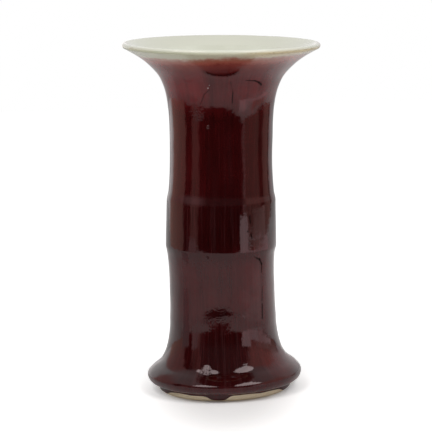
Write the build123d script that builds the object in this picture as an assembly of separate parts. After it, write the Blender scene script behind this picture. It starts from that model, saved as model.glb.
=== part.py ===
from build123d import *
from math import atan, cos, exp, radians, sin, tan
import os

# A porcelain gu-form beaker vase: three thrown sections, a floor disc and a foot ring, luted with slip
# and coated with red glaze outside and pale glaze inside. Millimetres and degrees, +Z up, origin at the
# centre of the face that the foot ring stands on.

# Mouth section: a trumpet whose flare fades over flare_length, held full for a while below the lip
total_height = 400.0
mouth_radius = 112.7
lip_radius = 3.1
flare_length = 19.0
flare_fullness = 0.4
neck_waist_radius = 58.45
neck_waist_height = 276.0
neck_foot_swell = 2.2

# Band section: a raised band with a bevel above and below
upper_seam = 229.0
lower_seam = 159.0
band_top_rise = 1.85
band_foot_rise = 2.05
band_top_bevel = 7.5
band_foot_bevel = 7.5

# Foot section: a stem that sweeps out into a rounded flange
stem_waist_radius = 59.65
stem_waist_height = 122.0
stem_head_swell = 2.0
ankle_height = 45.8
ankle_swell = 8.3
ankle_fade = 22.7
flange_overhang = 13.4
flange_edge_round = 4.2
flange_edge_slope = 43.0
flange_shoulder_round = 55.0
flange_shoulder_slope = 57.0
flange_under_round = 8.3

# Foot ring and floor
foot_ring_height = 10.5
foot_ring_outer = 75.6
foot_ring_width = 12.6
ring_outer_bevel = 2.4
ring_inner_bevel = 1.5
ring_lap = 3.1
floor_thickness = 9.0
floor_ledge = 5.5

# Wall, joints and coats
wall = 6.0
slip = 0.8
tongue_height = 4.0
red_glaze = 0.9
lining = 0.5
rim_band_height = 9.0
red_glaze_stop = 6.5

# The two upper sections lean this far to +X on the lower seam
lean_angle = 1.6

curve_stations = 30

# Sizes that follow
upper_seat_radius = neck_waist_radius + neck_foot_swell
lower_seat_radius = stem_waist_radius + stem_head_swell
body_inset = red_glaze + wall
well_inset = body_inset + lining
lip_rise = atan((mouth_radius - lip_radius - neck_waist_radius) / (flare_length * (1 + flare_fullness)))
lip_start_radius = mouth_radius - lip_radius + lip_radius * cos(lip_rise)
lip_start_height = total_height - lip_radius - lip_radius * sin(lip_rise)
band_top_radius = upper_seat_radius + band_top_rise
band_foot_radius = lower_seat_radius + band_foot_rise
upper_split_radius = upper_seat_radius - red_glaze - wall / 2
lower_split_radius = lower_seat_radius - red_glaze - wall / 2
rim_line = total_height - rim_band_height
stem_top = lower_seam + tongue_height + slip + lower_seat_radius * tan(radians(lean_angle))
foot_ring_inner = foot_ring_outer - foot_ring_width
flange_radius = foot_ring_outer + flange_overhang
flange_underside = foot_ring_height - red_glaze
flange_height = flange_underside + flange_under_round
floor_top = foot_ring_height + floor_thickness
floor_shoulder = floor_top + slip
floor_seat_radius = foot_ring_outer - ring_lap
well_foot_radius = floor_seat_radius - floor_ledge
well_bend_height = ankle_height + wall
clear_radius = 2 * mouth_radius
clear_height = 2 * total_height


def point(radius, height):
    return Vector(radius, 0, height)


def outwards(turn):
    # Away from the axis, turned up by an angle in radians
    return point(cos(turn), sin(turn))


def region(*corners):
    return make_face(Polyline(*[point(*corner) for corner in corners], close=True)).face()


def area(edges):
    return make_face(edges).face()


def turned(face):
    return revolve(face, Axis.Z).solid()


def leaned(solid):
    return solid.rotate(Axis((0, 0, lower_seam), (0, 1, 0)), lean_angle)


def strip(bottom, top):
    return region((0, bottom), (clear_radius, bottom), (clear_radius, top), (0, top))


def inmost(shape):
    return shape.faces().sort_by(Axis.X)[0]


def outmost(shape):
    return shape.faces().sort_by(Axis.X)[-1]


def above_joint(seam, split_radius, gap):
    # All that lies above a stepped seam: the inner half of the wall stands one tongue higher
    step = split_radius + gap
    foot = seam + gap
    return region(
        (clear_radius, foot),
        (step, foot),
        (step, foot + tongue_height),
        (0, foot + tongue_height),
        (0, clear_height),
        (clear_radius, clear_height),
    )


def heights(bottom, top):
    rise = (top - bottom) / curve_stations
    return [bottom + rise * i for i in range(curve_stations + 1)]


def inset_points(curve, start_depth, end_depth):
    # Stations moved inwards from an outer curve that runs upwards
    points = []
    for i in range(curve_stations + 1):
        share = i / curve_stations
        direction = curve % share
        inwards = Vector(-direction.Z, 0, direction.X)
        points.append(curve @ share + inwards * (start_depth + (end_depth - start_depth) * share))
    return points


def mouth_outer_radius(height):
    fall = exp((lip_start_height - height) / flare_length)
    flare = (lip_start_radius - neck_waist_radius) * (1 + flare_fullness) / (fall + flare_fullness)
    below_waist = max(0, neck_waist_height - height) / (neck_waist_height - upper_seam)
    return neck_waist_radius + flare + neck_foot_swell * below_waist**2


def stem_outer_radius(height):
    sweep = ankle_swell * exp((ankle_height - height) / ankle_fade)
    above_waist = max(0, height - stem_waist_height) / (lower_seam - stem_waist_height)
    return stem_waist_radius + sweep + stem_head_swell * above_waist**2


mouth_curve = Spline([point(mouth_outer_radius(z), z) for z in heights(upper_seam, lip_start_height)])
edge_turn = radians(flange_edge_slope)
shoulder_turn = radians(flange_shoulder_slope)
flange_under_centre = point(flange_radius - flange_under_round, flange_height)
flange_edge_centre = point(flange_radius - flange_edge_round, flange_height)
flange_shoulder_centre = flange_edge_centre - outwards(edge_turn) * (flange_shoulder_round - flange_edge_round)
stem_curve = Spline(
    [flange_shoulder_centre + outwards(shoulder_turn) * flange_shoulder_round]
    + [point(stem_outer_radius(z), z) for z in heights(ankle_height, stem_top)],
    tangents=[point(-sin(shoulder_turn), cos(shoulder_turn)), point(0, 1)],
)


def mouth_layer(start_depth, end_depth):
    points = inset_points(mouth_curve, start_depth, end_depth)
    points[0] = point(upper_seat_radius - start_depth, upper_seam)
    return Spline(points)


def band_layer(depth):
    return Polyline(
        point(lower_seat_radius - depth, lower_seam),
        point(band_foot_radius - depth, lower_seam + band_foot_bevel),
        point(band_top_radius - depth, upper_seam - band_top_bevel),
        point(upper_seat_radius - depth, upper_seam),
    )


def band_lining(depth):
    return Line(point(lower_seat_radius - depth, lower_seam), point(upper_seat_radius - depth, upper_seam))


def lip_arc(outer, inner):
    start = outer @ 1
    end = inner @ 1
    crown = (start + end) * 0.5 + (outer % 1) * ((start - end).length / 2)
    return ThreePointArc(start, crown, end)


def stem_layer(depth):
    return Spline(inset_points(stem_curve, depth, depth))


def turned_arc(centre, radius, start_turn, end_turn):
    turns = [start_turn, (start_turn + end_turn) / 2, end_turn]
    return ThreePointArc([centre + outwards(turn) * radius for turn in turns])


def flange_layer(depth):
    # The flange from its flat underside, round its edge and over its shoulder, to where the stem sweeps off it
    return [
        turned_arc(flange_under_centre, flange_under_round - depth, radians(-90), 0),
        turned_arc(flange_edge_centre, flange_edge_round - depth, 0, edge_turn),
        turned_arc(flange_shoulder_centre, flange_shoulder_round - depth, edge_turn, shoulder_turn),
    ]


def well_layer(depth):
    # Inside of the foot section: parallel to the stem, then out to the edge of the floor
    points = [
        point(stem_outer_radius(z) - body_inset - depth, z) for z in heights(well_bend_height, stem_top)
    ]
    toe = point(well_foot_radius - depth, floor_shoulder)
    return [
        Line(point(well_foot_radius - depth, floor_top), toe),
        Spline([toe] + points, tangents=[point(0, 1), point(0, 1)]),
    ]


mouth_outside = mouth_layer(0, 0)
mouth_body_outside = mouth_layer(red_glaze, red_glaze)
mouth_body_inside = mouth_layer(body_inset, 2 * lip_radius - lining)
mouth_inside = mouth_layer(well_inset, 2 * lip_radius)


def upper_wall():
    outside = [band_layer(red_glaze), mouth_body_outside, lip_arc(mouth_body_outside, mouth_body_inside)]
    inside = [mouth_body_inside, band_lining(body_inset)]
    bottom = Line(outside[0] @ 0, inside[1] @ 0)
    return area(outside + inside + [bottom])


def upper_coat():
    # One coat up the outside, over the lip and down the inside
    outside = area(
        [band_layer(0), mouth_outside, lip_arc(mouth_outside, mouth_inside), mouth_inside, band_lining(well_inset)]
        + [Line(point(lower_seat_radius, lower_seam), point(lower_seat_radius - well_inset, lower_seam))]
    )
    return outside - upper_wall()


def mouth_section():
    return leaned(turned(upper_wall() & above_joint(upper_seam, upper_split_radius, slip)))


def upper_luting_slip():
    joint = above_joint(upper_seam, upper_split_radius, 0) - above_joint(upper_seam, upper_split_radius, slip)
    return leaned(turned(upper_wall() & joint))


def band_section():
    below = upper_wall() - above_joint(upper_seam, upper_split_radius, 0)
    return leaned(turned(below & above_joint(lower_seam, lower_split_radius, slip)))


def lower_luting_slip():
    joint = above_joint(lower_seam, lower_split_radius, 0) - above_joint(lower_seam, lower_split_radius, slip)
    return leaned(turned(upper_wall() & joint))


def rim_glaze():
    return leaned(turned(upper_coat() & strip(rim_line, clear_height)))


def mouth_red_glaze():
    return leaned(turned(outmost(upper_coat() & strip(upper_seam, rim_line))))


def band_red_glaze():
    return leaned(turned(outmost(upper_coat() & strip(lower_seam, upper_seam))))


def upper_lining_glaze():
    return leaned(turned(inmost(upper_coat() & strip(lower_seam + tongue_height, rim_line))))


def below_lower_seam(solid):
    return (solid - leaned(turned(above_joint(lower_seam, lower_split_radius, 0)))).solid()


def foot_section():
    outside = flange_layer(red_glaze) + [stem_layer(red_glaze)]
    inside = well_layer(0)[1]
    seat = Polyline(
        outside[0] @ 0,
        point(floor_seat_radius, foot_ring_height),
        point(floor_seat_radius, floor_shoulder),
        inside @ 0,
    )
    top = Line(outside[-1] @ 1, inside @ 1)
    return below_lower_seam(turned(area(outside + [inside, seat, top])))


def foot_red_glaze():
    outside = flange_layer(0) + [stem_layer(0)]
    inside = flange_layer(red_glaze) + [stem_layer(red_glaze)]
    ring_edge = foot_ring_outer + red_glaze
    underside = Polyline(
        outside[0] @ 0,
        point(ring_edge, flange_underside),
        point(ring_edge, red_glaze_stop),
        point(foot_ring_outer, red_glaze_stop),
        point(foot_ring_outer, foot_ring_height),
        inside[0] @ 0,
    )
    top = Line(outside[-1] @ 1, inside[-1] @ 1)
    return below_lower_seam(turned(area(outside + inside + [underside, top])))


def lower_lining_glaze():
    outside = well_layer(0)
    inside = well_layer(lining)
    ends = [Line(outside[0] @ 0, inside[0] @ 0), Line(outside[1] @ 1, inside[1] @ 1)]
    return below_lower_seam(turned(area(outside + inside + ends)))


def floor_disc():
    edge = floor_seat_radius - slip
    return turned(region((0, foot_ring_height), (edge, foot_ring_height), (edge, floor_top), (0, floor_top)))


def floor_luting_slip():
    return turned(
        region(
            (floor_seat_radius - slip, foot_ring_height),
            (floor_seat_radius, foot_ring_height),
            (floor_seat_radius, floor_shoulder),
            (well_foot_radius, floor_shoulder),
            (well_foot_radius, floor_top),
            (floor_seat_radius - slip, floor_top),
        )
    )


def floor_glaze():
    edge = well_foot_radius - lining
    return turned(region((0, floor_top), (edge, floor_top), (edge, floor_top + lining), (0, floor_top + lining)))


def base_glaze():
    bottom = foot_ring_height - lining
    edge = foot_ring_inner
    return turned(region((0, bottom), (edge, bottom), (edge, foot_ring_height), (0, foot_ring_height)))


def foot_ring_luting_slip():
    bottom = foot_ring_height - slip
    return turned(
        region(
            (foot_ring_inner, bottom),
            (foot_ring_outer, bottom),
            (foot_ring_outer, foot_ring_height),
            (foot_ring_inner, foot_ring_height),
        )
    )


def foot_ring():
    top = foot_ring_height - slip
    return turned(
        region(
            (foot_ring_inner + ring_inner_bevel, 0),
            (foot_ring_outer - ring_outer_bevel, 0),
            (foot_ring_outer, ring_outer_bevel),
            (foot_ring_outer, top),
            (foot_ring_inner, top),
            (foot_ring_inner, ring_inner_bevel),
        )
    )


nodes = [
    mouth_section,
    band_section,
    foot_section,
    floor_disc,
    foot_ring,
    upper_luting_slip,
    lower_luting_slip,
    floor_luting_slip,
    foot_ring_luting_slip,
    rim_glaze,
    mouth_red_glaze,
    band_red_glaze,
    foot_red_glaze,
    upper_lining_glaze,
    lower_lining_glaze,
    floor_glaze,
    base_glaze,
]

os.makedirs("parts", exist_ok=True)
for make_node in nodes:
    solid = make_node()
    name = make_node.__name__
    solid.label = name
    export_step(solid, f"parts/{name}.step")
    print(f"{name}: {solid.volume:.1f} mm3, valid {solid.is_valid}")
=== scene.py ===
import math
from types import SimpleNamespace

import bpy
from mathutils import Matrix, Vector


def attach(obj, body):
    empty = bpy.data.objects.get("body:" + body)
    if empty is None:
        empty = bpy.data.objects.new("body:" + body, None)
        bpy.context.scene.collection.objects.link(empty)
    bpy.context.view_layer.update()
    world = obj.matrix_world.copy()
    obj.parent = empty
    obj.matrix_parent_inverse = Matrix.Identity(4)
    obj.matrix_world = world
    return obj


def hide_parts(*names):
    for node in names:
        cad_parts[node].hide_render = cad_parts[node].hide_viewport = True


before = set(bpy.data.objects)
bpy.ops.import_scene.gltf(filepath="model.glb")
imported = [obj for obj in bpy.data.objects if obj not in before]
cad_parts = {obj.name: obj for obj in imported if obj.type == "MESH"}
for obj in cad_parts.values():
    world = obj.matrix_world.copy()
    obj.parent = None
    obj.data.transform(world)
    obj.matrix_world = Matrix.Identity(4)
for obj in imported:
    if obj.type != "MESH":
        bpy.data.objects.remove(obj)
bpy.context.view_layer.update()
scene = bpy.context.scene
scene.view_settings.view_transform = "Standard"
mm = 0.001
print("frame loaded:", len(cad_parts), "nodes")


# Shader sockets with arithmetic, and one call for every other node

class Wire:
    def __init__(self, board, socket):
        self.board = board
        self.socket = socket

    def math(self, operation, *values):
        return self.board.add("ShaderNodeMath", {"operation": operation}, dict(enumerate(values)))

    def __add__(self, other):
        return self.math("ADD", self, other)

    def __radd__(self, other):
        return self.math("ADD", other, self)

    def __sub__(self, other):
        return self.math("SUBTRACT", self, other)

    def __rsub__(self, other):
        return self.math("SUBTRACT", other, self)

    def __mul__(self, other):
        return self.math("MULTIPLY", self, other)

    def __rmul__(self, other):
        return self.math("MULTIPLY", other, self)

    def __truediv__(self, other):
        return self.math("DIVIDE", self, other)

    def __pow__(self, other):
        return self.math("POWER", self, other)

    def __abs__(self):
        return self.math("ABSOLUTE", self)

    def above(self, edge, soft):
        # 0 below the edge, 1 above it, with a soft width on either side
        return self.board.add("ShaderNodeMapRange", {"interpolation_type": "SMOOTHSTEP"},
                              {"Value": self, "From Min": edge - soft, "From Max": edge + soft})

    def most(self, other):
        return self.math("MAXIMUM", self, other)

    def least(self, other):
        return self.math("MINIMUM", self, other)


class Board:
    def __init__(self, tree):
        self.tree = tree
        tree.nodes.clear()

    def add(self, kind, settings=None, sockets=None, out=0):
        node = self.tree.nodes.new(kind)
        for key, value in (settings or {}).items():
            if key == "stops":
                self.fillRamp(node.color_ramp, value)
            else:
                setattr(node, key, value)
        for key, value in (sockets or {}).items():
            if isinstance(value, Wire):
                self.tree.links.new(value.socket, node.inputs[key])
            else:
                node.inputs[key].default_value = value
        return Wire(self, node.outputs[out]) if len(node.outputs) else node

    def fillRamp(self, ramp, stops):
        while len(ramp.elements) < len(stops):
            ramp.elements.new(0.5)
        for element, (place, colour) in zip(ramp.elements, stops):
            element.position = place
            element.color = (*colour, 1)

    def ramp(self, factor, stops):
        return self.add("ShaderNodeValToRGB", {"stops": stops}, {"Fac": factor})

    def mix(self, factor, first, second):
        # The node's own numbers of its colour sockets: 6 and 7 go in, 2 comes out
        values = {0: factor, 6: first, 7: second}
        values = {k: (*v, 1) if isinstance(v, tuple) else v for k, v in values.items()}
        return self.add("ShaderNodeMix", {"data_type": "RGBA"}, values, 2)

    def noise(self, vector, scale, detail, roughness):
        values = {"Vector": vector, "Scale": scale, "Detail": detail, "Roughness": roughness}
        return self.add("ShaderNodeTexNoise", None, values)

    def vector(self, operation, sockets, out="Vector"):
        return self.add("ShaderNodeVectorMath", {"operation": operation}, sockets, out)

    def split(self, vector):
        return [self.add("ShaderNodeSeparateXYZ", None, {0: vector}, axis) for axis in "XYZ"]

    def objectPlace(self):
        return self.add("ShaderNodeTexCoord", None, None, "Object")

    def ray(self, kind):
        return self.add("ShaderNodeLightPath", None, None, f"Is {kind} Ray")


def newMaterial(name):
    material = bpy.data.materials.new(name)
    material.use_nodes = True
    return material, Board(material.node_tree)


# a dark matt look without gloss: painted shade in cracks and pits
pitShadeLook = {"Base Color": (0.004, 0.002, 0.002, 1), "Roughness": 1, "Specular IOR Level": 0}


def finishSurface(board, shadedPits=None, **sockets):
    values = {key.replace("_", " "): value for key, value in sockets.items()}
    shader = board.add("ShaderNodeBsdfPrincipled", None, values)
    if shadedPits:
        pitShadeSurface = board.add("ShaderNodeBsdfPrincipled", None, pitShadeLook)
        shader = board.add("ShaderNodeMixShader", None, {0: shadedPits, 1: shader, 2: pitShadeSurface})
    board.add("ShaderNodeOutputMaterial", None, {"Surface": shader})


def grey(value):
    return (value, value, value)


def between(pair, share):
    return pair[0] + (pair[1] - pair[0]) * share


# The form of the vase, in millimetres and degrees, upright as it was before its upper part leaned over

form = {
    "height": 400, "mouthRadius": 112.7, "lipRadius": 3.1, "flareLength": 19, "flareFullness": 0.4,
    "neckWaistRadius": 58.45, "neckWaistHeight": 276, "neckFootSwell": 2.2,
    "upperSeam": 229, "lowerSeam": 159, "bandTopRise": 1.85, "bandFootRise": 2.05, "bandBevel": 7.5,
    "stemWaistRadius": 59.65, "stemWaistHeight": 122, "stemHeadSwell": 2.0,
    "ankleHeight": 45.8, "ankleSwell": 8.3, "ankleFade": 22.7,
    "flangeRadius": 89, "flangeHeight": 17.9, "flangeUnderRound": 8.3,
    "flangeEdgeRound": 4.2, "flangeEdgeSlope": 43, "flangeShoulderRound": 55, "flangeShoulderSlope": 57,
    "ringRadius": 75.6, "ringInner": 63, "ringHeight": 9.7, "ringBevel": 2.4, "ringInnerBevel": 1.5,
    "wallAtSeam": 7.4, "wallThinning": 1.6, "glaze": 0.9,
    "liningTop": 384, "floorTop": 20, "wellFoot": 66.5, "wellBend": 51.8,
    # lean of what stands on the lower seam, and how far the flare swells or shrinks at each height
    "lean": 1.6, "flareTrim": [(352, 0), (362, -0.35), (374, 0.35), (384, 0)],
}
lean = math.radians(form["lean"])
neckTopRadius = form["neckWaistRadius"] + form["neckFootSwell"]
stemTopRadius = form["stemWaistRadius"] + form["stemHeadSwell"]
bandTop = Vector((neckTopRadius + form["bandTopRise"], form["upperSeam"] - form["bandBevel"]))
bandFoot = Vector((stemTopRadius + form["bandFootRise"], form["lowerSeam"] + form["bandBevel"]))
ankleWay = (form["ankleSwell"] / form["ankleFade"], -1)
lipCentre = Vector((form["mouthRadius"] - form["lipRadius"], form["height"] - form["lipRadius"]))
flareRun = form["flareLength"] * (1 + form["flareFullness"])
lipTurn = math.atan((lipCentre.x - form["neckWaistRadius"]) / flareRun)
lipStart = lipCentre + form["lipRadius"] * Vector((math.cos(lipTurn), -math.sin(lipTurn)))


def ease(share):
    return share * share * (3 - 2 * share)


def follow(value, knots):
    # Smooth way through pairs of place and amount, level outside them
    if value <= knots[0][0]:
        return knots[0][1]
    for (start, first), (end, second) in zip(knots, knots[1:]):
        if value <= end:
            return between((first, second), ease((value - start) / (end - start)))
    return knots[-1][1]


def neckRadius(z):
    full = form["flareFullness"]
    fall = math.exp((lipStart.y - z) / form["flareLength"])
    flare = (lipStart.x - form["neckWaistRadius"]) * (1 + full) / (fall + full)
    below = max(0, form["neckWaistHeight"] - z) / (form["neckWaistHeight"] - form["upperSeam"])
    swell = form["neckFootSwell"] * below**2
    return form["neckWaistRadius"] + flare + swell + follow(z, form["flareTrim"])


def stemRadius(z):
    sweep = form["ankleSwell"] * math.exp((form["ankleHeight"] - z) / form["ankleFade"])
    above = max(0, z - form["stemWaistHeight"]) / (form["lowerSeam"] - form["stemWaistHeight"])
    return form["stemWaistRadius"] + sweep + form["stemHeadSwell"] * above**2


def steps(start, end, count):
    return [start + (end - start) * i / count for i in range(count + 1)]


def insideNeck(z):
    # The inner side of the wall, which thins from the upper seam to the lip
    rise = 0.01    # short step along the wall, for its direction
    along = Vector((neckRadius(z + rise) - neckRadius(z - rise), 2 * rise)).normalized()
    share = (z - form["upperSeam"]) / (lipStart.y - form["upperSeam"])
    depth = between((form["wallAtSeam"], 2 * form["lipRadius"]), share ** form["wallThinning"])
    return Vector((neckRadius(z), z)) + depth * Vector((-along.y, along.x))


def arc(centre, radius, startTurn, endTurn, count):
    turns = [math.radians(a) for a in steps(startTurn, endTurn, count)]
    return [Vector(centre) + radius * Vector((math.cos(a), math.sin(a))) for a in turns]


def sweepCurve(start, startWay, end, endWay, count):
    # A smooth curve that leaves and arrives along the given directions
    start, end = Vector(start), Vector(end)
    reach = (end - start).length
    leave, arrive = Vector(startWay).normalized() * reach, Vector(endWay).normalized() * reach
    points = []
    for t in steps(0, 1, count):
        point = start + (end - start) * ease(t)
        points.append(point + leave * t * (1 - t) ** 2 - arrive * t * t * (1 - t))
    return points


# Modelling helpers

def clearSelection():
    if bpy.context.object and bpy.context.object.mode != "OBJECT":
        bpy.ops.object.mode_set(mode="OBJECT")
    bpy.ops.object.select_all(action="DESELECT")


def pick(piece, test):
    # Leaves the piece in edit mode with the vertices that pass the test selected
    if piece.mode == "EDIT":
        bpy.ops.object.mode_set(mode="OBJECT")
    mesh = piece.data
    for group in (mesh.polygons, mesh.edges):
        group.foreach_set("select", [False] * len(group))
    mesh.vertices.foreach_set("select", [bool(test(v.co)) for v in mesh.vertices])
    bpy.ops.object.mode_set(mode="EDIT")


def lathe(name, profile, columns, towardsAxis=False):
    # One vertex walked along the profile, then spun round the axis
    clearSelection()
    bpy.ops.mesh.primitive_plane_add(size=2 * mm)
    piece = bpy.context.object
    piece.name = piece.data.name = name
    bpy.ops.object.mode_set(mode="EDIT")
    bpy.context.tool_settings.mesh_select_mode = (True, False, False)
    bpy.ops.mesh.select_all(action="SELECT")
    bpy.ops.mesh.merge(type="CENTER")
    bpy.ops.transform.translate(value=(profile[0][0] * mm, 0, profile[0][1] * mm))
    for (r0, z0), (r1, z1) in zip(profile, profile[1:]):
        step = ((r1 - r0) * mm, 0, (z1 - z0) * mm)
        bpy.ops.mesh.extrude_region_move(TRANSFORM_OT_translate={"value": step})
    bpy.ops.mesh.select_all(action="SELECT")
    bpy.ops.mesh.spin(steps=columns, angle=math.tau, center=(0, 0, 0), axis=(0, 0, 1))
    bpy.ops.mesh.select_all(action="SELECT")
    bpy.ops.mesh.remove_doubles(threshold=0.01 * mm)
    bpy.ops.mesh.normals_make_consistent(inside=False)
    bpy.ops.object.mode_set(mode="OBJECT")
    # a face that stands upright, near the neck if there is one, shows which way all of them point
    neckLevel = 250 * mm
    upright = max(piece.data.polygons, key=lambda p: -abs(p.center.z - neckLevel) - abs(p.normal.z))
    outward = upright.normal.x * upright.center.x + upright.normal.y * upright.center.y > 0
    if outward == towardsAxis:
        pick(piece, lambda co: True)
        bpy.ops.mesh.flip_normals()
        bpy.ops.object.mode_set(mode="OBJECT")
    return piece


def roundEdge(piece, radius, height, offset, segments=4):
    upDown, inOut = 0.02 * mm, 0.3 * mm    # how near to the edge its vertices lie

    def onEdge(co):
        return abs(co.z - height * mm) < upDown and abs(math.hypot(co.x, co.y) - radius * mm) < inOut
    pick(piece, onEdge)
    bpy.ops.mesh.bevel(offset=offset * mm, segments=segments, profile=0.5, affect="EDGES")
    bpy.ops.object.mode_set(mode="OBJECT")


def leanOver(piece, count=8, spread=14):
    # The upper part leans to +X on the lower seam, a little at a time so that the joint stays smooth
    for height in steps(form["lowerSeam"] - spread / 2, form["lowerSeam"] + spread / 2, count - 1):
        pick(piece, lambda co: co.z > height * mm)
        bpy.ops.transform.rotate(value=-lean / count, orient_axis="Y",
                                 center_override=(0, 0, form["lowerSeam"] * mm))
    bpy.ops.object.mode_set(mode="OBJECT")


def ripple(piece, name, size, depth):
    # Slight unevenness of a thrown wall
    cloud = bpy.data.textures.new(name, "CLOUDS")
    cloud.noise_scale = size * mm
    cloud.noise_depth = 1    # broad swells only
    modifier = piece.modifiers.new(name, "DISPLACE")
    modifier.texture = cloud
    modifier.texture_coords = "LOCAL"
    modifier.strength = depth * mm
    bpy.context.view_layer.objects.active = piece
    bpy.ops.object.modifier_apply(modifier=name)


def thicken(piece, depth):
    modifier = piece.modifiers.new("coat", "SOLIDIFY")
    modifier.thickness = depth * mm
    modifier.offset = -1    # towards the wall
    bpy.context.view_layer.objects.active = piece
    bpy.ops.object.modifier_apply(modifier="coat")


def smoothOver(piece, angle=60):
    clearSelection()
    piece.select_set(True)
    bpy.context.view_layer.objects.active = piece
    bpy.ops.object.shade_smooth_by_angle(angle=math.radians(angle))


def settle(piece, material, slot, *nodes):
    piece.data.materials.clear()
    piece.data.materials.append(material)
    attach(piece, "root")
    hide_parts(*nodes)
    print("made", piece.name, len(piece.data.polygons), "faces")


# The outer coat: over the lip, down the outside and onto the foot ring, where it runs unevenly

outerCoat = {
    "columns": 192, "insideRows": 5, "lipRows": 10, "neckRows": 62, "neckCrowding": 1.45, "bandRows": 12,
    "stemRows": 40, "ankleRows": 10, "shoulderRows": 8, "edgeRows": 6, "underRows": 10, "filletRows": 3,
    "skirtRows": 7, "edgeRound": 1.6, "thickness": 0.7,
    "skirtTop": 8.4, "skirtFoot": 1.4, "skirtReach": 1.5, "thinning": 0.75, "thinningPower": 6,
    # how far the shoulder of the flange stands up on either side, and the share of it at each height
    "liftRight": 3.0, "liftLeft": 1.1, "liftSpread": 1.2,
    "lift": [(12, 0), (18, 0.3), (22, 0.8), (26, 1), (31, 1), (39, 0.35), (44, 0)],
    # how far the wall above the flange is drawn out at each height, or in where it is below 0
    "drawn": [
        (38, 0), (46, -0.5), (56, -0.5), (76, -0.25), (87, 0.24), (98, 0.3), (110, 0.42), (122, 0.5),
        (157, 0.2), (167, 0),
    ],
    # shallow dents in front: turn, height, half width in degrees, half height and depth in millimetres
    "dents": [(-6.5, 106, 19, 20, 1.0), (-3, 86.5, 20, 9, 0.5)],
    # lower edge of the coat: its height, and waves as height, count round the ring and shift in degrees
    "edgeHeight": 6.2, "waves": [(0.5, 3, 40), (0.35, 7, 0), (0.2, 17, 80)],
    # where it runs lower: turn from the front, half width in degrees, height of the edge there
    "runs": [
        (-5.5, 8, 1.4), (74, 15, 0.5), (118, 14, 3.0), (176, 20, 1.6), (-130, 16, 2.2), (-72, 14, 1.2),
    ],
    "runSteepness": 6, "runEnd": 2,    # how steep the sides of a run are, and its end in half widths
    "ripples": [("throwing", 34, 0.5), ("running", 11, 0.15)],    # name, size and depth
}


def neckHeights():
    # Closer together towards the lip, where the trumpet turns outwards
    count, crowding = outerCoat["neckRows"], outerCoat["neckCrowding"]
    span = lipStart.y - form["upperSeam"]
    return [form["upperSeam"] + span * (1 - (1 - i / count) ** crowding) for i in range(count + 1)]


def flangeCurve(ankle):
    # From the ankle over the shoulder and the edge of the flange to its underside
    coat = outerCoat
    edgeSlope, shoulderSlope = form["flangeEdgeSlope"], form["flangeShoulderSlope"]
    edgeRound, shoulderRound = form["flangeEdgeRound"], form["flangeShoulderRound"]
    underCentre = Vector((form["flangeRadius"] - form["flangeUnderRound"], form["flangeHeight"]))
    edgeCentre = Vector((form["flangeRadius"] - edgeRound, form["flangeHeight"]))
    shoulderCentre = arc(edgeCentre, edgeRound - shoulderRound, edgeSlope, 0, 1)[0]
    shoulder = arc(shoulderCentre, shoulderRound, shoulderSlope, edgeSlope, coat["shoulderRows"])
    turn = math.radians(shoulderSlope)
    shoulderWay = (math.sin(turn), -math.cos(turn))
    points = sweepCurve(ankle, ankleWay, shoulder[0], shoulderWay, coat["ankleRows"])[1:]
    points += shoulder[1:]
    points += arc(edgeCentre, edgeRound, edgeSlope, 0, coat["edgeRows"])[1:]
    points += arc(underCentre, form["flangeUnderRound"], 0, -90, coat["underRows"])[1:]
    return points


def outerProfile():
    coat = outerCoat
    lipDegrees = math.degrees(lipTurn)
    points = [insideNeck(z) for z in steps(form["liningTop"], lipStart.y, coat["insideRows"])[:-1]]
    points += arc(lipCentre, form["lipRadius"], 180 - lipDegrees, -lipDegrees, coat["lipRows"])
    points += [Vector((neckRadius(z), z)) for z in reversed(neckHeights()[:-1])]
    points += [bandTop.lerp(bandFoot, t) for t in steps(0, 1, coat["bandRows"])]
    stemHeights = steps(form["lowerSeam"], form["ankleHeight"], coat["stemRows"])
    points += [Vector((stemRadius(z), z)) for z in stemHeights]
    points += flangeCurve(points[-1])
    ringSide = form["ringRadius"] + form["glaze"]
    fillet = form["flangeHeight"] - form["flangeUnderRound"] - coat["skirtTop"]
    points += arc((ringSide + fillet, coat["skirtTop"]), fillet, 90, 180, coat["filletRows"])
    skirtHeights = steps(coat["skirtTop"], coat["skirtFoot"], coat["skirtRows"])[1:]
    points += [Vector((ringSide, z)) for z in skirtHeights]
    return points


def turnOf(x, y):
    # Turn from the front in degrees
    return math.degrees(math.atan2(x, -y))


def edgeAt(turn):
    # Height of the coat's lower edge on the ring
    height = outerCoat["edgeHeight"]
    for swing, count, shift in outerCoat["waves"]:
        height += swing * math.sin(math.radians(count * turn + shift))
    for centre, width, low in outerCoat["runs"]:
        away = abs((turn - centre + 180) % 360 - 180) / width
        if away < outerCoat["runEnd"]:
            share = 1 / (1 + math.exp(outerCoat["runSteepness"] * (away - 1)))
            height += (low - height) * share
    return height


def runDown(piece):
    # Slides the skirt's rows along the ring to the uneven edge, thinner at the very end
    top, foot = outerCoat["skirtTop"], outerCoat["skirtFoot"]
    highest = (top + 0.01) * mm    # with a hair for rounding
    widest = (form["ringRadius"] + outerCoat["skirtReach"]) * mm
    for vertex in piece.data.vertices:
        x, y, z = vertex.co
        radius = math.hypot(x, y)
        if z > highest or radius > widest:
            continue
        share = (top - z / mm) / (top - foot)
        height = top - (top - edgeAt(turnOf(x, y))) * share
        onBevel = max(0, form["ringBevel"] - height)
        depth = form["glaze"] * (1 - outerCoat["thinning"] * share ** outerCoat["thinningPower"])
        newRadius = (form["ringRadius"] - onBevel + depth) * mm
        vertex.co = (x * newRadius / radius, y * newRadius / radius, height * mm)


def dentAt(turn, height):
    depth = 0
    for centre, level, halfTurn, halfHeight, amount in outerCoat["dents"]:
        across, up = (turn - centre) / halfTurn, (height - level) / halfHeight
        if abs(across) < 1 and abs(up) < 1:
            depth += amount * ((1 - up * up) * (1 - across * across)) ** 2
    return depth


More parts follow.
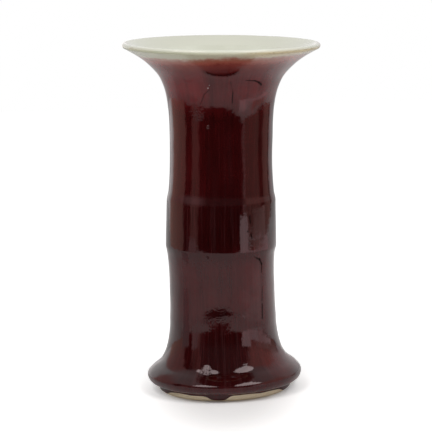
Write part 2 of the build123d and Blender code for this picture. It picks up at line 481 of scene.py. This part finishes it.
def warpFoot(piece):
    # Lifts the shoulder of the flange at the sides, draws the wall in and out above it and dents its front
    for vertex in piece.data.vertices:
        x, y, z = vertex.co
        radius = math.hypot(x, y)
        toRight = x / radius
        side = outerCoat["liftRight"] if toRight > 0 else outerCoat["liftLeft"]
        lift = side * abs(toRight) ** outerCoat["liftSpread"] * follow(z / mm, outerCoat["lift"]) * mm
        drawn = follow(z / mm, outerCoat["drawn"]) - dentAt(turnOf(x, y), z / mm)
        wider = 1 + drawn * mm / radius
        vertex.co = (x * wider, y * wider, z + lift)


outer = lathe("outerGlaze", outerProfile(), outerCoat["columns"])
seams = [(neckTopRadius, form["upperSeam"]), bandTop, bandFoot, (stemTopRadius, form["lowerSeam"])]
for seamRadius, seamHeight in seams:
    roundEdge(outer, seamRadius, seamHeight, outerCoat["edgeRound"])
runDown(outer)
warpFoot(outer)
leanOver(outer)
for name, size, depth in outerCoat["ripples"]:
    ripple(outer, name, size, depth)
thicken(outer, outerCoat["thickness"])
smoothOver(outer)


# The lining: from inside the lip down to the middle of the floor

lining = {
    "columns": 128, "neckRows": 40, "bandRows": 8, "stemRows": 24, "toeRows": 8, "toeRound": 3,
    "toeRoundRows": 5, "floorRows": 10, "thickness": 0.4, "ripple": ("liningThrowing", 34, 0.4),
}


def liningProfile():
    wall, toeRound = form["wallAtSeam"], lining["toeRound"]
    neckRows = steps(form["upperSeam"], form["liningTop"], lining["neckRows"])
    points = [insideNeck(z) for z in reversed(neckRows)]
    seamInside = Vector((stemTopRadius - wall, form["lowerSeam"]))
    points += [points[-1].lerp(seamInside, t) for t in steps(0, 1, lining["bandRows"])[1:]]
    stemRows = steps(form["lowerSeam"], form["wellBend"], lining["stemRows"])[1:]
    points += [Vector((stemRadius(z) - wall, z)) for z in stemRows]
    toe = Vector((form["wellFoot"], form["floorTop"] + toeRound))
    points += sweepCurve(points[-1], ankleWay, toe, (0, -1), lining["toeRows"])[1:]
    points += arc((toe.x - toeRound, toe.y), toeRound, 0, -90, lining["toeRoundRows"])[1:]
    floorRows = steps(toe.x - toeRound, 0, lining["floorRows"])[1:]
    points += [Vector((r, form["floorTop"])) for r in floorRows]
    return points


inner = lathe("liningGlaze", liningProfile(), lining["columns"], towardsAxis=True)
leanOver(inner)
ripple(inner, *lining["ripple"])
thicken(inner, lining["thickness"])
smoothOver(inner)


# The bare foot ring, worn round at its edges

bareRing = {"columns": 144, "rows": 3, "wear": 0.9, "wearRows": 3}
ringEdges = [
    (form["ringInner"], form["ringInnerBevel"]), (form["ringInner"] + form["ringInnerBevel"], 0),
    (form["ringRadius"] - form["ringBevel"], 0), (form["ringRadius"], form["ringBevel"]),
]


def ringProfile():
    innerTop, outerTop = (form["ringInner"], form["ringHeight"]), (form["ringRadius"], form["ringHeight"])
    corners = [innerTop, *ringEdges, outerTop, innerTop]
    points = [innerTop]
    for start, end in zip(corners, corners[1:]):
        points += [Vector(start).lerp(Vector(end), t) for t in steps(0, 1, bareRing["rows"])[1:]]
    return points


ring = lathe("footRing", ringProfile(), bareRing["columns"])
for edgeRadius, edgeHeight in ringEdges:
    roundEdge(ring, edgeRadius, edgeHeight, bareRing["wear"], bareRing["wearRows"])
smoothOver(ring)


# Places on the vase for its materials, in metres

leanHeight = form["lowerSeam"] * mm
leanBlend = 0.03    # half of the stretch over which the height starts to follow the lean
streakRadius = 0.06    # of the cylinder that the streaks are laid out on


def uprightPlace(board):
    # Place with the lean taken out: offset from the axis, height, and the direction round the axis
    place = board.objectPlace()
    x, y, z = board.split(place)
    upper = (z - leanHeight).most(0)
    acrossX = x - upper * math.tan(lean)
    height = z + (x * math.sin(lean)) * z.above(leanHeight + leanBlend, leanBlend)
    flat = board.add("ShaderNodeCombineXYZ", None, {0: acrossX, 1: y})
    around = board.vector("NORMALIZE", {0: flat})
    left, front = 0 - acrossX, 0 - y
    return SimpleNamespace(place=place, x=acrossX, left=left, front=front, height=height, around=around)


def streakPlace(board, at, squeeze):
    # Coordinates that follow the wall and are drawn out along it, for glaze that ran down while molten
    wide = board.vector("SCALE", {0: at.around, "Scale": streakRadius})
    tall = board.add("ShaderNodeCombineXYZ", None, {2: at.height * squeeze})
    return board.vector("ADD", {0: wide, 1: tall})


def wallPoint(turn, z):
    # A point of the outside, by the turn from the front in degrees and the height in millimetres
    if z > form["upperSeam"]:
        radius = neckRadius(z)
    elif z < form["lowerSeam"]:
        radius = stemRadius(z)
    else:
        share = (form["upperSeam"] - z) / (form["upperSeam"] - form["lowerSeam"])
        radius = neckTopRadius + form["bandTopRise"] + share * (stemTopRadius - neckTopRadius)
    turn = math.radians(turn)
    point = Vector((radius * math.sin(turn), -radius * math.cos(turn), z))
    if z > form["lowerSeam"]:
        seam = Vector((0, 0, form["lowerSeam"]))
        point = Matrix.Rotation(lean, 3, "Y") @ (point - seam) + seam
    return point * mm


def stroke(board, at, startTurn, startHeight, endTurn, endHeight, width):
    # 1 on the line between two points of the outside, 0 from the given width outwards
    start = wallPoint(startTurn, startHeight)
    line = wallPoint(endTurn, endHeight) - start
    away = board.vector("SUBTRACT", {0: at.place, 1: start})
    share = {0: away, 1: line / max(line.length_squared, 1e-12)}    # a spot has no length
    along = board.vector("DOT_PRODUCT", share, "Value").most(0).least(1)
    nearest = board.vector("SCALE", {0: line, "Scale": along})
    gap = board.vector("DISTANCE", {0: away, 1: nearest}, "Value")
    half = width * mm / 2
    return 1 - gap.above(half, half)


def spot(board, at, turn, height, width):
    return stroke(board, at, turn, height, turn, height, width)


# The red glaze

oxblood = {
    "tint": (1, 0.055, 0.065), "level": 0.97, "roughness": 0.045, "ior": 1.45, "gloss": (1, 0.83, 0.84, 1),
    # how bright the red is at each height in millimetres: darkest where the glaze is thick
    "strength": [
        (0, 0.042), (14, 0.040), (22, 0.022), (30, 0.018), (70, 0.019), (88, 0.028), (105, 0.033),
        (148, 0.033), (165, 0.021), (178, 0.0155), (215, 0.0155), (236, 0.0205), (250, 0.0225),
        (320, 0.0235), (335, 0.046), (348, 0.074), (362, 0.077), (372, 0.078),
    ],
    # painted side light: how much brighter the red is at the sides, below the band and above it, and on the
    # right of the flange
    "sideLightLeft": (0.2, 0.58), "sideLightRight": (0.5, 0.25), "flangeLightRight": 1.8,
    # a darker patch: turn and height of each end, width in millimetres, and how much darker it is
    "darkPatch": (-11, 97, 1, 97, 14), "darkPatchShare": 0.5,
    # colour at each distance below the lip in millimetres, within the span of the ramp
    "lipSpan": 60,
    "lip": [
        (5.5, (0.565, 0.545, 0.405)), (8, (0.505, 0.44, 0.335)), (10, (0.37, 0.20, 0.145)),
        (12, (0.29, 0.095, 0.062)), (14.5, (0.30, 0.07, 0.045)), (17.5, (0.18, 0.026, 0.018)),
        (25, (0.11, 0.012, 0.010)), (34, (0.07, 0.006, 0.006)),
    ],
    # how far the end of the pale glaze wavers, in millimetres, and how much wider it is on the left
    "lipWaver": 7, "lipGrain": 3, "lipMottle": 5, "lipLeft": 3.3,
    # what tints the pale glaze, and how much: celadon on the left, ochre and most of the specks in front
    "celadon": (0.48, 0.495, 0.355), "celadonShare": 0.8, "ochre": (0.56, 0.47, 0.28), "ochreShare": 0.9,
    "speck": (0.30, 0.20, 0.11), "speckShare": (0.25, 0.85), "inside": (0.625, 0.63, 0.535),
    # milky streaks, fewer except on the band and low down, and a painted highlight, a pale stretch under the
    # upper seam
    "milk": (0.11, 0.055, 0.058), "milkShare": 0.075, "milkSpread": (0.3, 1),
    "seamHighlight": (0.058, 0.023, 0.024), "seamHighlightShare": 0.8, "seamHighlightDrop": 3,
    # a painted reflection of the dark foot: a dark line under the front of the mouth, its height in metres,
    # its bend and its colour
    "footReflection": (0.3695, 11), "footReflectionColour": (0.012, 0.001, 0.001), "footReflectionShare": 0.6,
    # painted glints: pale spots where small glints show, turn, height and width
    "paintedGlint": (0.75, 0.68, 0.66), "paintedGlints": [(-12.8, 354.2, 0.8), (-11.2, 357.6, 0.5)],
    # bubbles that glint, and cracks and pits filled with painted shade: turn and height of each end, and
    # width
    "bubbles": [(-14.5, 310.5, -14.5, 309.5, 1.9), (-14.5, 162.5, -13.5, 162.5, 1.8)],
    "shadedCracks": [
        (31, 209, 30.5, 206, 1.8), (31, 204, 31.5, 201, 1.8), (32, 188, 33, 184, 1.8),
        (28, 192, 28, 191, 1.3), (22.8, 362.9, 31.8, 362, 1.1), (31.8, 362, 37, 359.8, 1.8),
        (37, 359.8, 41, 356.8, 2.2), (36.6, 161.6, 44.8, 156.4, 1.7), (44.8, 156.4, 48.2, 150.4, 2.2),
        (48.2, 150.4, 48, 141.2, 1.5), (49, 124, 48, 108, 1.2), (48, 104, 47, 88, 1.8),
        (8.4, 361.5, 11.4, 348.8, 0.7), (11.4, 348.8, 11.2, 337.4, 1.2), (-22.2, 335.4, -17, 347.1, 0.8),
        (-17, 347.1, -11.4, 352.2, 0.7),
    ],
    "crackShadeShare": 0.9,    # how dark they are
    # rough patches: turn, height, width and swell
    "blisters": [(-16.5, 34, 9, 0.7), (-6, 93, 34, 0.17), (-27, 325.5, 13, 0.6)],
    # how much smoother the surface is over the lip
    "lipSmoothness": 0.85,
}


def redColour(board, at):
    stops = [(z / form["height"], grey(v)) for z, v in oxblood["strength"]]
    strength = board.ramp(at.height / (form["height"] * mm), stops)
    # painted side light: brighter red at the sides, on the left above the band and on the right below it
    upper, sides = at.height.above(0.19, 0.03), at.height.above(0.04, 0.015)
    left = sides * at.left.above(0.02, 0.013) * between(oxblood["sideLightLeft"], upper)
    right = sides * at.x.above(0.02, 0.013) * between(oxblood["sideLightRight"], upper)
    onFlange = at.height.above(0.026, 0.005) * (1 - at.height.above(0.045, 0.01))
    strength = strength * (oxblood["level"] + left + right)
    # painted light on the right of the flange: brighter red there
    strength = strength * (1 + oxblood["flangeLightRight"] * at.x.above(0.05, 0.02) * onFlange)
    strength = strength * (1 - oxblood["darkPatchShare"] * stroke(board, at, *oxblood["darkPatch"]))
    # streaks and clouds, about 1 on average
    broad = board.noise(streakPlace(board, at, 0.08), 150, 3, 0.55)
    fine = board.noise(streakPlace(board, at, 0.05), 700, 3, 0.6)
    cloudy = board.noise(at.place, 38, 4, 0.6)
    strength = strength * (broad * 0.9 + fine * 0.8 + cloudy * 0.9 - 0.3)
    return board.vector("SCALE", {0: oxblood["tint"], "Scale": strength})


def lipColour(board, at):
    # Thin and pale towards the lip, wider on the left: its colour, and the uneven distance below the lip
    waver = board.noise(streakPlace(board, at, 0), 30, 3, 0.5) - 0.5
    grains = board.noise(at.place, 420, 3, 0.6)
    mottle = board.noise(at.place, 130, 3, 0.6) - 0.5
    leftward = at.left.above(0.03, 0.03)
    below = (form["height"] * mm - at.height) / mm + waver * oxblood["lipWaver"]
    below = below + (grains - 0.5) * oxblood["lipGrain"] + mottle * oxblood["lipMottle"]
    below = below - leftward * oxblood["lipLeft"]
    span = oxblood["lipSpan"]
    colour = board.ramp(below / span, [(depth / span, shade) for depth, shade in oxblood["lip"]])
    pale = 1 - below.above(8, 1.5)
    frontRight = at.front.above(0.02, 0.04) * at.x.above(0.03, 0.02)
    speckled = grains.above(0.63, 0.03) * pale * between(oxblood["speckShare"], frontRight)
    colour = board.mix(leftward * pale * oxblood["celadonShare"], colour, oxblood["celadon"])
    colour = board.mix(frontRight * pale * oxblood["ochreShare"], colour, oxblood["ochre"])
    return board.mix(speckled, colour, oxblood["speck"]), below


def addMilkAndSeamHighlight(board, at, below, colour):
    # Milky streaks, most of all on the band and above the flange
    onBand = at.height.above(0.167, 0.005) * (1 - at.height.above(0.222, 0.006))
    lowDown = 1 - at.height.above(0.088, 0.012)
    milk = board.noise(streakPlace(board, at, 0.025), 360, 2, 0.6).above(0.57, 0.1)
    milk = milk * between(oxblood["milkSpread"], (onBand + lowDown).least(1)) * below.above(40, 12)
    colour = board.mix(milk * oxblood["milkShare"], colour, oxblood["milk"])
    # and a painted highlight, a pale stretch along the upper seam on the left
    offSeam = abs(at.height - (form["upperSeam"] - oxblood["seamHighlightDrop"]) * mm)
    onLeft = at.left.above(0.022, 0.008) * (1 - at.left.above(0.043, 0.006))
    onSeam = (1 - offSeam.above(0.0045, 0.003)) * onLeft
    return board.mix(onSeam * oxblood["seamHighlightShare"], colour, oxblood["seamHighlight"])


def addMarks(board, at, colour):
    # A painted reflection of the dark foot, a dark line under the mouth, and painted glints, pale spots
    # above it
    level, bend = oxblood["footReflection"]
    offLine = abs(at.height - (at.x * at.x * bend + level))
    inFront = (1 - abs(at.x).above(0.02, 0.006)) * at.front.above(0.01, 0.01)
    footReflectionMask = (1 - offLine.above(0.002, 0.0015)) * inFront * oxblood["footReflectionShare"]
    colour = board.mix(footReflectionMask, colour, oxblood["footReflectionColour"])
    # painted glints: pale spots in the glaze colour
    for paintedGlint in oxblood["paintedGlints"]:
        colour = board.mix(spot(board, at, *paintedGlint), colour, oxblood["paintedGlint"])
    # pale on the side of the lip that faces up and inwards
    facingUp = board.split(board.add("ShaderNodeNewGeometry", None, None, "Normal"))[2]
    inside = facingUp.above(0.1, 0.5) * at.height.above(0.375, 0.002)
    return board.mix(inside, colour, oxblood["inside"])


def glazeRelief(board, at):
    # Unevenness of the surface in millimetres, less of it over the lip
    rise = board.noise(streakPlace(board, at, 0.35), 120, 3, 0.5) * 0.09
    rise = rise + board.noise(streakPlace(board, at, 0.15), 850, 2, 0.5) * 0.03
    rise = rise + board.noise(at.place, 170, 2, 0.5) * 0.07 + board.noise(at.place, 480, 2, 0.5) * 0.035
    for bubble in oxblood["bubbles"]:
        rise = rise + stroke(board, at, *bubble)
    for turn, height, width, swell in oxblood["blisters"]:
        rise = rise + spot(board, at, turn, height, width) * board.noise(at.place, 420, 1, 0.5) * swell
    rise = rise * (1 - oxblood["lipSmoothness"] * at.height.above(0.391, 0.004))
    return board.add("ShaderNodeBump", None, {"Strength": 1, "Distance": mm, "Height": rise})


def makeOxblood():
    material, board = newMaterial("oxbloodGlaze")
    at = uprightPlace(board)
    lip, below = lipColour(board, at)
    colour = board.mix(1 - below.above(27, 9), redColour(board, at), lip)
    colour = addMilkAndSeamHighlight(board, at, below, colour)
    colour = addMarks(board, at, colour)
    # painted shade in the cracks and pits, mixed in as a dark matt look
    crackShade = sum(stroke(board, at, *crack) for crack in oxblood["shadedCracks"]).least(1)
    finishSurface(
        board, crackShade * oxblood["crackShadeShare"], Base_Color=colour, Roughness=oxblood["roughness"],
        IOR=oxblood["ior"], Specular_Tint=oxblood["gloss"], Normal=glazeRelief(board, at),
    )
    return material


# The bare clay of the foot ring, and the plainer finishes

biscuitLook = {
    "low": (0.66, 0.54, 0.37), "high": (0.93, 0.79, 0.57), "roughness": 0.8,
    "grainScale": 900, "stainScale": 60, "grainDepth": 0.2, "grainStrength": 0.4,
}
# colours of the low and the high spots, roughness and scale of the mottling
finishes = {
    "paleLining": ((0.605, 0.61, 0.515), (0.655, 0.66, 0.565), 0.08, 40),
    "porcelainBody": ((0.60, 0.57, 0.51), (0.70, 0.67, 0.61), 0.6, 500),
    "lutingSlip": ((0.50, 0.46, 0.40), (0.60, 0.56, 0.49), 0.7, 400),
    "baseGlaze": ((0.56, 0.55, 0.46), (0.66, 0.65, 0.56), 0.15, 60),
}


def makeBiscuit():
    material, board = newMaterial("bareBiscuit")
    place = board.objectPlace()
    grain = board.noise(place, biscuitLook["grainScale"], 4, 0.7)
    stain = board.noise(place, biscuitLook["stainScale"], 3, 0.6)
    stops = [(0.3, biscuitLook["low"]), (0.7, biscuitLook["high"])]
    colour = board.ramp(grain * 0.5 + stain * 0.5, stops)
    strength, depth = biscuitLook["grainStrength"], biscuitLook["grainDepth"] * mm
    bump = board.add("ShaderNodeBump", None, {"Strength": strength, "Distance": depth, "Height": grain})
    finishSurface(board, Base_Color=colour, Roughness=biscuitLook["roughness"], Normal=bump)
    return material


def makeMottled(name, low, high, roughness, scale):
    material, board = newMaterial(name)
    grain = board.noise(board.objectPlace(), scale, 4, 0.6)
    colour = board.ramp(grain, [(0.3, low), (0.7, high)])
    finishSurface(board, Base_Color=colour, Roughness=roughness)
    return material


mottled = {name: makeMottled(name, *look) for name, look in finishes.items()}
settle(outer, makeOxblood(), "red_glaze", "rim_glaze", "mouth_red_glaze", "band_red_glaze", "foot_red_glaze")
settle(inner, mottled["paleLining"], "pale_glaze", "upper_lining_glaze", "lower_lining_glaze", "floor_glaze")
settle(ring, makeBiscuit(), "foot_biscuit", "foot_ring")
for name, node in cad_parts.items():
    plain = "baseGlaze" if name == "base_glaze" else "porcelainBody"
    node.data.materials.clear()
    node.data.materials.append(mottled["lutingSlip" if name.endswith("_slip") else plain])
print("materials set")


# The table, the lamps and the room that the glaze mirrors

warm, veil, wall = (0.76, 0.46, 0.39), (0.58, 0.34, 0.30), (0.50, 0.29, 0.25)
streak, dim, dark = (0.62, 0.38, 0.36), (0.12, 0.06, 0.05), grey(0.02)
rosy, dusk, glow = (0.78, 0.45, 0.43), (0.40, 0.20, 0.18), (1.05, 0.57, 0.51)
studio = {
    "tableFront": -0.885, "tableBack": 3.0, "tableHalf": 1.05, "tableColour": (0.935, 0.915, 0.905),
    # how much lighter the table looks than it is lit, in front of the vase and where the glaze mirrors it
    "tableLift": 0.75, "frontLift": 0.72, "mirroredLift": 0.34, "rightLift": 0.5, "nearLift": 0.16,
    "farDrop": 0.11,
    # the oval round the foot that keeps the shadow
    "haloHalf": (0.073, 0.142), "haloCentre": (0.003, -0.077),
    "lampReach": 1.25, "lampAim": 0.1, "lampSize": 0.7, "lampPower": 6.0, "lampRise": 49,
    "lampRight": 44, "lampLeft": -39,
    # brightness of the ceiling, of what is straight overhead, and of the plain light
    "ceiling": 0.7, "overhead": 0.04, "plain": 0.33,
    # rise of a direction, from 0 at eye level to 1 overhead, and turn out of 1, each with its soft width
    "wallChange": (0.1, 0.14), "ceilingFoot": (0.68, 0.12), "ceilingTop": (0.93, 0.02),
    "ceilingSides": (0.155, 0.03),
    # low cards: turn, distance, width, heights of foot and top, colour
    "cards": [
        (46.5, 0.61, 0.19, 0.035, 0.131, (1.9, 1.6, 1.65)), (60, 0.61, 0.3, 0.035, 0.076, (1.6, 1.35, 1.4)),
        (90, 0.61, 0.4, 0.035, 0.079, (1.4, 1.05, 1.07)), (84, 0.61, 0.36, 0.079, 0.13, (0.9, 0.62, 0.57)),
        (49.5, 0.61, 0.03, 0.19, 0.3, (0.95, 0.63, 0.63)),
        (-59.5, 0.61, 0.16, 0.035, 0.125, (0.85, 0.6, 0.61)), (-79, 0.3, 0.09, 0, 0.075, (0.55, 0.48, 0.49)),
    ],
    # colour of the surroundings by the turn from the front, below and above eye level
    "lowWalls": [
        (-180, (1.22, 1.16, 1.16)), (-138, (1.22, 1.16, 1.16)), (-131, warm), (-88, warm), (-85, dark),
        (-70, dark), (-67, veil), (-52, veil), (-48, dark), (47, dark), (49, streak), (53, streak),
        (56, wall), (90, wall), (92, dim), (104, dim), (106, wall), (126, wall), (128, dim),
        (130, dim), (135, (0.78, 0.68, 0.69)), (150, (0.7, 0.63, 0.64)), (180, (0.74, 0.69, 0.7)),
    ],
    "highWalls": [
        (-180, grey(0.95)), (-138, grey(0.95)), (-131, rosy), (-88, rosy), (-85, dark), (-70, dark),
        (-67, dusk), (-52, dusk), (-48, grey(0.10)), (47, grey(0.10)), (58, glow), (102, glow),
        (116, (1.05, 0.85, 0.84)), (136, grey(0.85)), (180, grey(0.95)),
    ],
}


def makeTableTop():
    material, board = newMaterial("tableTop")
    top = board.add("ShaderNodeBsdfDiffuse", None, {"Color": (*studio["tableColour"], 1)})
    lift = board.add("ShaderNodeEmission", None, {"Color": (1, 1, 1, 1), "Strength": studio["tableLift"]})
    lifted = board.add("ShaderNodeAddShader", None, {0: top, 1: lift})
    x, y = board.split(board.objectPlace())[:2]
    acrossHalo = (x - studio["haloCentre"][0]) / studio["haloHalf"][0]
    alongHalo = (y - studio["haloCentre"][1]) / studio["haloHalf"][1]
    away = (acrossHalo * acrossHalo + alongHalo * alongHalo) ** 0.5
    behind = y.above(0.2, 0.1)
    outside = away.above(1.1, 0.8) * between((studio["frontLift"], 1), behind)
    # what the glaze mirrors of the table: brighter behind the vase, least far back on the right
    far = y.above(0.85, 0.2)
    nearRight = x.above(0.16, 0.08) * y.above(0.08, 0.08) * (1 - far)
    wayRight = x.above(0.6, 0.12) * (1 - y.above(0, 0.1))
    brighter = behind * (studio["mirroredLift"] - x.above(0.45, 0.2) * far * studio["farDrop"])
    brighter = brighter + nearRight * studio["nearLift"] + wayRight * studio["rightLift"]
    seen, mirrored = board.ray("Camera"), board.ray("Glossy").most(board.ray("Transmission"))
    share = seen * outside + (1 - seen) * mirrored * brighter
    shown = board.add("ShaderNodeMixShader", None, {0: share, 1: top, 2: lifted})
    board.add("ShaderNodeOutputMaterial", None, {"Surface": shown})
    return material


def makeTable():
    clearSelection()
    depth = studio["tableBack"] - studio["tableFront"]
    bpy.ops.mesh.primitive_plane_add(size=1, location=(0, studio["tableFront"] + depth / 2, 0))
    table = bpy.context.object
    table.name = "table"
    table.scale = (2 * studio["tableHalf"], depth, 1)
    bpy.ops.object.transform_apply(location=True, rotation=True, scale=True)
    table.data.materials.append(makeTableTop())


def makeCard(turn, reach, width, foot, top, colour):
    clearSelection()
    turn = math.radians(turn)
    bpy.ops.mesh.primitive_plane_add(size=1)
    card = bpy.context.object
    card.name = "card"
    card.location = (math.sin(turn) * reach, -math.cos(turn) * reach, (foot + top) / 2)
    card.rotation_euler = (math.pi / 2, 0, turn)
    card.scale = (width, top - foot, 1)
    bpy.ops.object.transform_apply(location=True, rotation=True, scale=True)
    material, board = newMaterial("cardFace")
    face = board.add("ShaderNodeEmission", None, {"Color": (*colour, 1)})
    board.add("ShaderNodeOutputMaterial", None, {"Surface": face})
    card.data.materials.append(material)
    card.visible_camera = False
    card.visible_diffuse = False
    card.visible_shadow = False


def makeLamp(name):
    clearSelection()
    rise, turn = math.radians(studio["lampRise"]), math.radians(studio[name])
    way = Vector((math.sin(turn) * math.cos(rise), -math.cos(turn) * math.cos(rise), math.sin(rise)))
    target = Vector((0, 0, studio["lampAim"]))
    place = way * studio["lampReach"] + target
    bpy.ops.object.light_add(type="AREA", location=place)
    lamp = bpy.context.object
    lamp.name = name
    lamp.data.shape = "DISK"
    lamp.data.size = studio["lampSize"]
    lamp.data.energy = studio["lampPower"]
    lamp.visible_camera = False
    lamp.rotation_euler = (target - place).to_track_quat("-Z", "Y").to_euler()


def makeRoom():
    world = bpy.data.worlds.new("studioRoom")
    scene.world = world
    world.use_nodes = True
    board = Board(world.node_tree)
    x, y, z = board.split(board.add("ShaderNodeTexCoord", None, None, "Generated"))
    turn = x.math("ARCTAN2", x, 0 - y) / math.tau + 0.5
    low, high = [
        board.ramp(turn, [((degrees + 180) / 360, colour) for degrees, colour in studio[walls]])
        for walls in ("lowWalls", "highWalls")
    ]
    room = board.mix(z.above(*studio["wallChange"]), low, high)
    overhead = z.above(*studio["ceilingTop"])
    sideways = abs(turn - 0.5).above(*studio["ceilingSides"])
    ceiling = z.above(*studio["ceilingFoot"]) * (1 - overhead) * sideways
    room = board.mix(ceiling, room, grey(studio["ceiling"]))
    room = board.mix(overhead, room, grey(studio["overhead"]))
    # plain grey light for matt surfaces, the room only where it is mirrored, white behind the vase
    light = board.mix(board.ray("Glossy"), grey(studio["plain"]), room)
    light = board.mix(board.ray("Camera"), light, grey(1))
    background = board.add("ShaderNodeBackground", None, {"Color": light, "Strength": 1})
    board.add("ShaderNodeOutputWorld", None, {"Surface": background})


makeTable()
for card in studio["cards"]:
    makeCard(*card)
makeLamp("lampRight")
makeLamp("lampLeft")
makeRoom()
print("studio set")


# The camera, in front of the axis and turned slightly, as in the photograph

camera = {
    "place": (0, -2.4506, 0.5929), "yaw": 0.1086, "down": 9.097, "roll": -1.641,
    "lens": 180, "sensor": 36, "reach": 50,
}
clearSelection()
bpy.ops.object.camera_add(location=camera["place"])
view = bpy.context.object
view.name = "studioCamera"
aim = Matrix.Rotation(math.radians(camera["yaw"]), 4, "Z")
aim = aim @ Matrix.Rotation(math.radians(90 - camera["down"]), 4, "X")
aim = aim @ Matrix.Rotation(math.radians(camera["roll"]), 4, "Z")
view.rotation_euler = aim.to_euler()
view.data.lens = camera["lens"]
view.data.sensor_width = camera["sensor"]
view.data.clip_end = camera["reach"]
scene.camera = view
